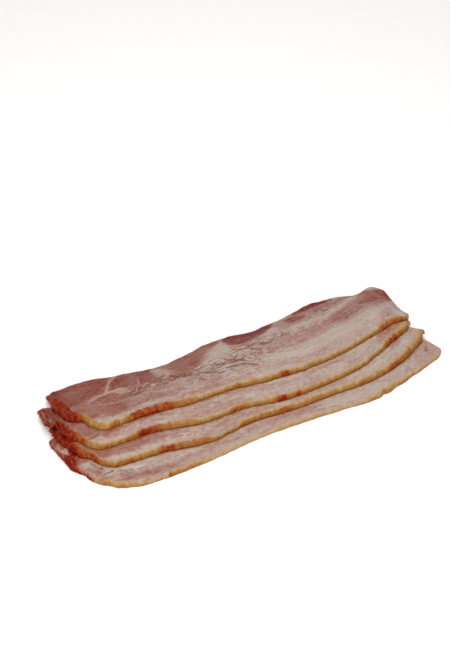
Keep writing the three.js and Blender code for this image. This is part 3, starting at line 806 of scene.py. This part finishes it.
    # painted shade: the skin darkens towards its foot
    skin = tone * (1 - gentle * cream) + np.where(onSkin, smokeRun["footShade"] * (1 - up) ** 2, 0)
    for stroke in r["smoke"]:
        cover = coverOf(stroke, a, w)[at] * stroke["strength"]
        skin = np.where(cover > stain, stroke["tone"], skin)
        stain = np.maximum(stain, cover)
    # painted shade, brown, along the line where the next rasher's rind rests on this one
    if above:
        aboveX = px - cut["originShift"][0]
        gap = np.clip(rindEdge(above, aboveX) - y - cut["rindFoot"], 0, None)
        contactShade = np.where(aboveX > above["left"] + 3, smokeRun["contactShade"] * np.exp(-gap ** 2), 0)[at]
        skin = np.where(contactShade > stain, smokeRun["contactShadeTone"], skin)
        stain = np.maximum(stain, contactShade)
    # at the ends and along the lean edge only the wall is smoked
    endSmoke = np.minimum(fromEnds, fromLean)[at]
    endSmoke = smokeRun["endSmoke"] * np.clip(1 - endSmoke / smokeRun["endFade"], 0, 1)
    skin = np.where(endSmoke > stain, r["endTone"], skin)
    stain = np.maximum(stain, endSmoke)
    values = {name: grid[at] for name, grid in {**meat, "rumple": rumple, "torn": torn}.items()}
    values.update(stain=stain, rindTone=skin)
    # each rasher has a place of its own in the patterns
    depthThere = up * cut["thickness"] + meatFinish["apart"] * len(pileSoFar)
    values["meatPlace"] = np.stack([va, vw, depthThere], 1) * mm
    for name, value in values.items():
        kind, field = ("FLOAT", "value") if value.ndim == 1 else ("FLOAT_VECTOR", "vector")
        layer = slab.data.attributes.new(name, kind, "POINT")
        layer.data.foreach_set(field, value.astype(np.float32).ravel())

    slab.data.polygons.foreach_set("use_smooth", np.ones(len(slab.data.polygons), bool))
    slab.data.materials.append(porkBelly)
    slab.data.update()
    pileSoFar.append(treeOf(slab))
    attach(slab, "root")
    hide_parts(r["node"])
    print(r["name"], "lies down")


# the four rashers, from the lowest to the top one
# rindLine is the y of the rind at even stations along x, and tornCorner says how far behind it the
# torn edge lies, by the distance from the left end. A dent is (along, depth, half width), and ripples
# are (along, across, half length, half width, height).
# rind gives (along, tone, reach): tone 0 is pale skin, 0.5 ochre and 1 deep red-brown. The reach is
# where the skin's colour has half faded, in from the upper edge of the rind or, below 0, down its
# wall, and the meat is yellowed for a few mm more.

bottomRasher = {
    "name": "bottomRasher", "node": "rasher_bottom", "seed": 100,
    "start": -138, "left": -138, "right": 137.5, "slant": 13, "tip": 5,
    "rindLine": [-57.5, -57.5, -57, -54, -49.5, -48, -48, -48, -39, -29],
    "tornCorner": [(0, 54.5), (0.9, 52.5), (1.6, 49), (2.4, 44.5), (3.3, 41), (4.1, 36), (4.8, 31.5),
                   (5.6, 28.7), (8.5, 26), (11.3, 22.5), (12.3, 18.5), (14.2, 15), (17.1, 12),
                   (21.5, 8.2), (26, 4), (31, 1.3), (38, 0)],
    "tailCorner": (12, 12, 2),
    "rindDents": [(30, 1.4, 8), (217, 1.3, 2.2), (228, 0.8, 5), (243, 0.6, 4)],
    "leanDents": [],
    "rind": [(0, 0.9, -1), (2.6, 0.9, -0.6), (3.2, 0.95, 0), (4.1, 1, 1.5), (5.6, 0.95, 4),
             (7, 0.85, 2), (9, 0.9, -0.5), (13, 0.85, -0.5), (14.5, 0.32, 0.1), (17, 0.4, 0.1),
             (18, 0.54, 0), (20, 0.44, -0.2), (24, 0.26, 0.1), (34, 0.26, -0.4), (40, 0.28, -2.3),
             (56, 0.28, -2.3), (58, 0.7, 0.2), (60, 0.46, -0.4), (70, 0.46, -0.4), (79, 0.41, -0.6),
             (84, 0.08, -2), (128, 0.08, -1.9), (150, 0.2, -1.5), (166, 0.26, -1.5), (180, 0.14, -2.4),
             (200, 0.14, -2.9), (206, 0.38, -1.3), (213, 0.38, -1.3), (217, 0.58, 1.3), (221, 0.4, 0.3),
             (230, 0.36, -0.3), (237, 0.56, -1.3), (243, 0.4, -1.7), (256, 0.32, -2.1),
             (266, 0.3, -2.1), (275, 0.36, -1.7)],
    "smoke": [
        # partly smoked torn meat and partly painted shade, in the hollows under the torn tips above
        {"tone": 1.0, "strength": 1, "soft": 1.6, "area": [
            (4.2, 37), (6.6, 37.5), (7.4, 41), (8.2, 46), (6.2, 50), (5.2, 55), (7, 60), (17, 60),
            (15, 48), (13.5, 41), (10.5, 37), (8.6, 34), (8, 30), (5.5, 29)]},
        {"tone": 0.95, "strength": 0.8, "soft": 1.6, "line": [
            (13, 39, 1), (18, 36.5, 1), (22, 31, 0.7)]},
    ],
    "endTone": 0.9,
    "ripples": [(30, 24, 16, 9, 0.22), (130, 26, 30, 11, 0.22), (250, 10, 16, 8, 0.12)],
    "strokes": sideMeat + [
        {"tone": 0.2, "soft": 3, "area": [
            (8, 2), (10, 34), (22, 36), (34, 26), (60, 20), (84, 18), (110, 14), (290, 14), (290, -6),
            (8, -6)]},
        {"tone": 0.55, "soft": 4, "line": [(-2, 56, 4), (3, 50, 3), (5, 46, 2)]},
        {"tone": 0.0, "soft": 1.2, "area": [
            (3, 47), (6, 48), (6.6, 45), (5.8, 42), (4.4, 39), (2.4, 40), (2, 44)]},
        {"tone": 0.5, "soft": 1.6, "area": [
            (11.2, 32.9), (12.2, 35.6), (17, 34.5), (17.5, 30.5), (13, 30)]},
        {"tone": 0.0, "soft": 1.6, "line": [(9.5, 29, 0.6), (12, 27.8, 1), (16, 27.2, 1)]},
        # painted highlight: a pale wet streak along the rim of the torn tip
        {"seamAndHighlight": 0.9, "soft": 0.7, "half": 0.4, "line": [
            (1, 55.6), (1.7, 51), (2.2, 47.3), (2.9, 43.7)]},
        {"tone": 0.36, "soft": 4, "line": [(16, 20, 4), (22, 12, 4), (28, 18, 4), (34, 9, 3)]},
        {"tone": 0.46, "soft": 2.6, "line": [
            (28, 6.5, 2), (45, 5.5, 2.6), (60, 5.5, 2.6), (85, 5.5, 2)]},
        {"tone": 0.38, "soft": 3, "line": [(90, 6, 2.2), (104, 5.5, 2.6), (128, 6, 2.2), (140, 7, 2)]},
        {"tone": 0.38, "soft": 2.5, "line": [(136, 6, 1), (146, 7, 2), (158, 6.5, 2), (166, 6, 1)]},
        {"tone": 0.03, "soft": 3, "line": [(176, 5, 3), (190, 6, 5), (206, 7, 5), (222, 6, 4)]},
        {"tone": 0.17, "soft": 2.5, "line": [(36, 14, 2), (45, 14, 3), (58, 14.5, 3), (72, 14, 2)]},
        {"tone": 0.08, "soft": 4, "line": [(196, 6, 3), (220, 8, 5), (240, 7, 6), (250, 6, 4)]},
        {"tone": 0.26, "soft": 5, "line": [(248, 16, 2), (258, 13, 5), (270, 13, 6)]},
        {"tone": 0.7, "soft": 1.6, "line": [(266, 8, 0.6), (269, 9.5, 0.8)]},
        {"tone": 0.55, "soft": 1.8, "line": [(243, 4, 0.6), (246, 6, 0.6)]},
        {"tone": 0.0, "soft": 1, "line": [
            (21, 18, 0.6), (26, 18.8, 1), (31, 17.5, 1), (36, 14, 1), (46, 13, 0.6)]},
        {"tone": 0.0, "soft": 1, "line": [(24, 14, 0.4), (29, 18, 0.8), (34, 16, 0.6)]},
        # creases, with painted shade in them
        {"crease": 0.8, "soft": 1, "half": 0.6, "line": [(33, 14), (35, 10), (38, 8)]},
        {"crease": 0.75, "soft": 1, "half": 0.55, "line": [
            (21, 16.4), (26, 17.2), (31, 15.8), (36, 12.2), (44, 11.4)]},
        {"crease": 0.9, "soft": 1, "half": 0.7, "line": [(17, 27.4), (18.5, 23.9), (21.5, 20.7)]},
    ],
}

lowerMiddleRasher = {
    "name": "lowerMiddleRasher", "node": "rasher_lower_middle", "seed": 200,
    "start": -131.5, "left": -134.5, "right": 136.5, "slant": 34, "tip": -5,
    "rindLine": [-38.5, -38.5, -39, -42.5, -37, -37.5, -35.5, -34, -26, -10.5],
    "tornCorner": [(0, 44.5), (0.5, 42), (1.3, 38.4), (2.1, 35), (3.2, 30.5), (4.7, 27.3), (6.3, 24.3),
                   (8.3, 20), (9.2, 16.5), (13.2, 14.3), (15, 12), (16.9, 8.4), (18.3, 6.5), (21, 3.4),
                   (25.9, 0.6), (30, 0)],
    "tailCorner": (16, 18, 2),
    "rindDents": [(265, 2.5, 3)],
    "leanDents": [],
    "rind": [(-3, 1, 6), (1, 0.95, 6), (5, 1, 6), (8, 0.9, 4), (11, 0.78, 2.5), (14, 0.66, 1.6),
             (17, 0.44, 0.4), (22, 0.34, -0.2), (28, 0.55, -0.1), (33, 0.63, 0.1), (37, 0.55, 0.3),
             (41, 0.34, 0.4), (51, 0.34, 0.4), (54, 0.78, 1.5), (62, 0.82, 1.5), (65, 0.51, 1.1),
             (69, 0.58, 2.1), (84, 0.55, 1.9), (87, 0.36, -0.5), (90, 0.36, -1.7), (106, 0.36, -1.7),
             (111, 0.59, 0.3), (122, 0.57, 0.3), (126, 0.46, 0.4), (136, 0.51, 0.4), (141, 0.74, 1.3),
             (146, 0.4, 0.5), (157, 0.42, 0.5), (175, 0.36, 0.4), (184, 0.22, 0), (196, 0.3, 0),
             (200, 0.53, 0.2), (205, 0.34, 0.4), (222, 0.36, 0.4), (227, 0.74, 0.8), (233, 0.61, 0.5),
             (240, 0.53, 1.1), (257, 0.51, 1.1), (263, 0.55, 0.5)],
    "smoke": [
        {"tone": 0.95, "strength": 1, "soft": 2, "area": [
            (-6, 30), (-6, 60), (3, 60), (5, 40), (8, 26), (5, 22)]},
        {"tone": 0.78, "strength": 0.9, "soft": 1.4, "line": [(5.7, 17.5, 0.8), (7.4, 15.3, 1)]},
    ],
    "endTone": 0.55,
    "ripples": [(74, 10, 16, 6, 0.2), (140, 28, 32, 11, 0.22)],
    "strokes": sideMeat + [
        {"tone": 0.56, "soft": 3, "line": [(14, 12, 3), (26, 10, 4), (40, 10, 4), (58, 10, 3)]},
        {"tone": 0.1, "soft": 2, "line": [(20, 4.5, 1), (28, 3.5, 1.2), (36, 3, 1)]},
        {"tone": 0.25, "soft": 2.4, "line": [(58, 5, 1.5), (68, 7, 3), (78, 8, 3.5), (92, 8, 3)]},
        {"tone": 0.3, "soft": 3, "line": [(92, 4, 1.5), (110, 5, 2.5), (134, 4.5, 2)]},
        {"tone": 0.22, "soft": 3, "line": [(150, 6, 1), (170, 5, 1.8), (186, 6, 1.6)]},
        {"tone": 0.03, "soft": 3, "line": [(194, 6, 1.5), (220, 6, 2.5), (250, 6, 2.5)]},
        {"seamAndHighlight": 0.9, "soft": 1.4, "half": 0.9, "line": [(68, 4), (72, 8), (78, 10), (84, 12)]},
        {"seamAndHighlight": 0.8, "soft": 1, "half": 0.5, "line": [(61, 5), (66, 6.5), (72, 6)]},
        # a crease, with painted shade in it
        {"crease": 0.55, "soft": 2, "half": 1.0, "line": [(215, 4), (216, 6.5)]},
    ],
}

upperMiddleRasher = {
    "name": "upperMiddleRasher", "node": "rasher_upper_middle", "seed": 300,
    "start": -137.5, "left": -136.5, "right": 131.5, "slant": 8, "tip": -2,
    "rindLine": [-24.5, -24.5, -23.5, -28.5, -27, -30.5, -28, -22.5, -9.5, 2.5],
    "tornCorner": [(0, 40.5), (0.5, 37.2), (2.2, 33.8), (3.4, 32.5), (5.6, 31.8), (6.8, 21.2),
                   (9.9, 17.7), (12.2, 15.1), (14.5, 12.2), (16.5, 8.4), (18.6, 5.1), (22.6, 1.7),
                   (26.7, 0.3), (31, 0)],
    "tailCorner": (14, 13, 2),
    "rindDents": [(266, 1.5, 3)],
    "leanDents": [],
    "rind": [(1, 0.9, -0.6), (6.4, 0.9, -0.2), (7.2, 1, 2), (8.6, 0.95, 3), (10, 0.92, 4.5),
             (13, 0.85, 5.5), (16.5, 0.76, 3.6), (18.5, 0.42, 2.2), (22, 0.28, 1.5), (26, 0.34, 0.7),
             (28, 0.57, -0.1), (35, 0.46, -0.4), (43, 0.53, -0.4), (49, 0.51, 0.3), (52, 0.8, 2.6),
             (64, 0.8, 2.6), (68, 0.55, 2.3), (77, 0.45, 2.1), (80, 0.39, 1.6), (88, 0.37, 0.9),
             (92, 0.36, -1.1), (110, 0.38, -1.2), (114, 0.63, 0), (121, 0.57, 0), (125, 0.39, -0.2),
             (143, 0.44, -0.3), (147, 0.8, 0.6), (151, 0.85, 0.9), (155, 0.42, -0.4), (161, 0.76, 0.1),
             (164, 0.42, -0.5), (200, 0.32, -0.6), (206, 0.42, -0.8), (212, 0.28, -1.3),
             (234, 0.28, -1.2), (239, 0.75, 1.1), (247, 0.76, 1.5), (251, 0.55, 0.7), (262, 0.44, 0.8),
             (269, 0.61, 1.1)],
    "smoke": [
        {"tone": 0.5, "strength": 0.4, "soft": 9, "area": [
            (240, -4), (243, 12), (252, 13), (275, 16), (275, -4)]},
        {"tone": 0.95, "strength": 1, "soft": 3, "line": [(14, 36, 2), (18, 28, 2)]},
    ],
    "endTone": 0.5,
    "ripples": [(74, 10, 14, 7, 0.2), (140, 28, 32, 11, 0.22), (110, 10, 30, 4, 0.1)],
    "strokes": sideMeat + [
        {"tone": 0.78, "soft": 3, "line": [(3, 55, 4), (6, 49, 4), (8, 43, 3), (9, 36, 1.5)]},
        # painted highlight: a pale wet streak along the rim of the torn tip
        {"seamAndHighlight": 0.95, "soft": 0.7, "half": 0.35, "line": [
            (2.3, 51), (2.5, 46.3), (3.1, 41.6), (4, 35.8)]},
        {"tone": 0.55, "soft": 3, "line": [(13, 30, 2), (18, 22, 4), (26, 12, 4), (38, 10, 3.5)]},
        {"tone": 0.28, "soft": 2.2, "line": [
            (24, 5, 1), (36, 4, 1.5), (48, 4.5, 2), (60, 5.5, 2), (72, 7, 2.5)]},
        {"tone": 0.32, "soft": 2.4, "line": [
            (84, 7, 1), (92, 7.5, 2), (102, 7, 2.2), (114, 6, 1.6), (122, 6, 0.8)]},
        {"tone": 0.26, "soft": 2.4, "line": [
            (95, 14, 1), (110, 13, 1.5), (140, 12, 1.6), (170, 11, 1.4), (215, 11, 1)]},
        {"tone": 0.44, "soft": 5, "line": [(242, 8, 4), (250, 8, 5), (262, 8, 4)]},
        {"seamAndHighlight": 0.8, "soft": 1, "half": 0.5, "line": [(70, 5), (73, 8), (76, 12)]},
        {"seamAndHighlight": 0.8, "soft": 1, "half": 0.5, "line": [(75, 6), (78, 9), (80, 13)]},
    ],
}

topRasher = {
    "name": "topRasher", "node": "rasher_top", "seed": 400,
    "start": -127.5, "left": -126.7, "right": 133.5, "slant": -3, "tip": 0,
    "rindLine": [-13, -13.5, -11, -12.5, -11, -13.5, -12.5, -7, 1.5, 8],
    "tornCorner": [(0, 37.5), (1.1, 33), (2.3, 22.5), (3.1, 20.2), (4.5, 18.3), (7.6, 16), (10, 15),
                   (12.1, 13.3), (14.3, 8.2), (17.8, 3.4), (21.2, 1.2), (26.2, 0)],
    "tailCorner": (10, 11, 2),
    "rindDents": [],
    "leanDents": [(46, 1.6, 7), (104, 1.4, 9), (150, 3.2, 9), (239, 4.4, 13)],
    "rind": [(0, 1, 2.5), (3, 0.98, 4), (4, 1, 6.5), (8, 0.95, 6.5), (12, 0.85, 5), (14, 0.5, 3.2),
             (17, 0.36, 3.4), (21, 0.29, 3), (24, 0.24, 0.6), (27, 0.57, 1), (31, 0.61, 0.8),
             (34, 0.3, 0.5), (39, 0.47, 0.8), (42, 0.8, 3.1), (45, 0.84, 4.2), (57, 0.82, 4.2),
             (60, 0.78, 4.2), (68, 0.74, 4.2), (73, 0.51, 2.8), (84, 0.38, 1.3), (88, 0.36, -0.5),
             (90, 0.36, -1.5), (112, 0.4, -0.9), (116, 0.57, 0.1), (120, 0.38, -0.1), (144, 0.42, -0.4),
             (147, 0.8, 0.7), (151, 0.76, 0.5), (154, 0.38, -0.6), (180, 0.32, -0.7), (200, 0.3, -1),
             (228, 0.36, -0.9), (231, 0.61, 1.1), (236, 0.76, 2.6), (241, 0.65, 1.4), (247, 0.59, 0.5),
             (252, 0.63, 0.4), (261, 0.72, 0.3)],
    "smoke": [
        {"tone": 0.97, "strength": 1, "soft": 4, "area": [
            (-4, 30), (-4, 60), (2, 60), (4, 45), (7, 32), (3, 26)]},
    ],
    "endTone": 0.6,
    "ripples": [(120, 22, 44, 12, 0.32), (84, 27, 18, 7, 0.28), (160, 36, 34, 6, 0.28),
                (58, 24, 24, 6, 0.18), (205, 44, 22, 7, 0.24)],
    "strokes": sideMeat + [
        {"tone": 0.25, "soft": 2.5, "line": [
            (120, 7, 1.5), (150, 7, 2.2), (180, 7, 2.2), (200, 7, 1.5)]},
    ] + creases,
}

pile = (bottomRasher, lowerMiddleRasher, upperMiddleRasher, topRasher)
for rasher, above in zip(pile, pile[1:] + (None,)):
    layRasher(rasher, above)

deselectAll()
print("the pile is done")
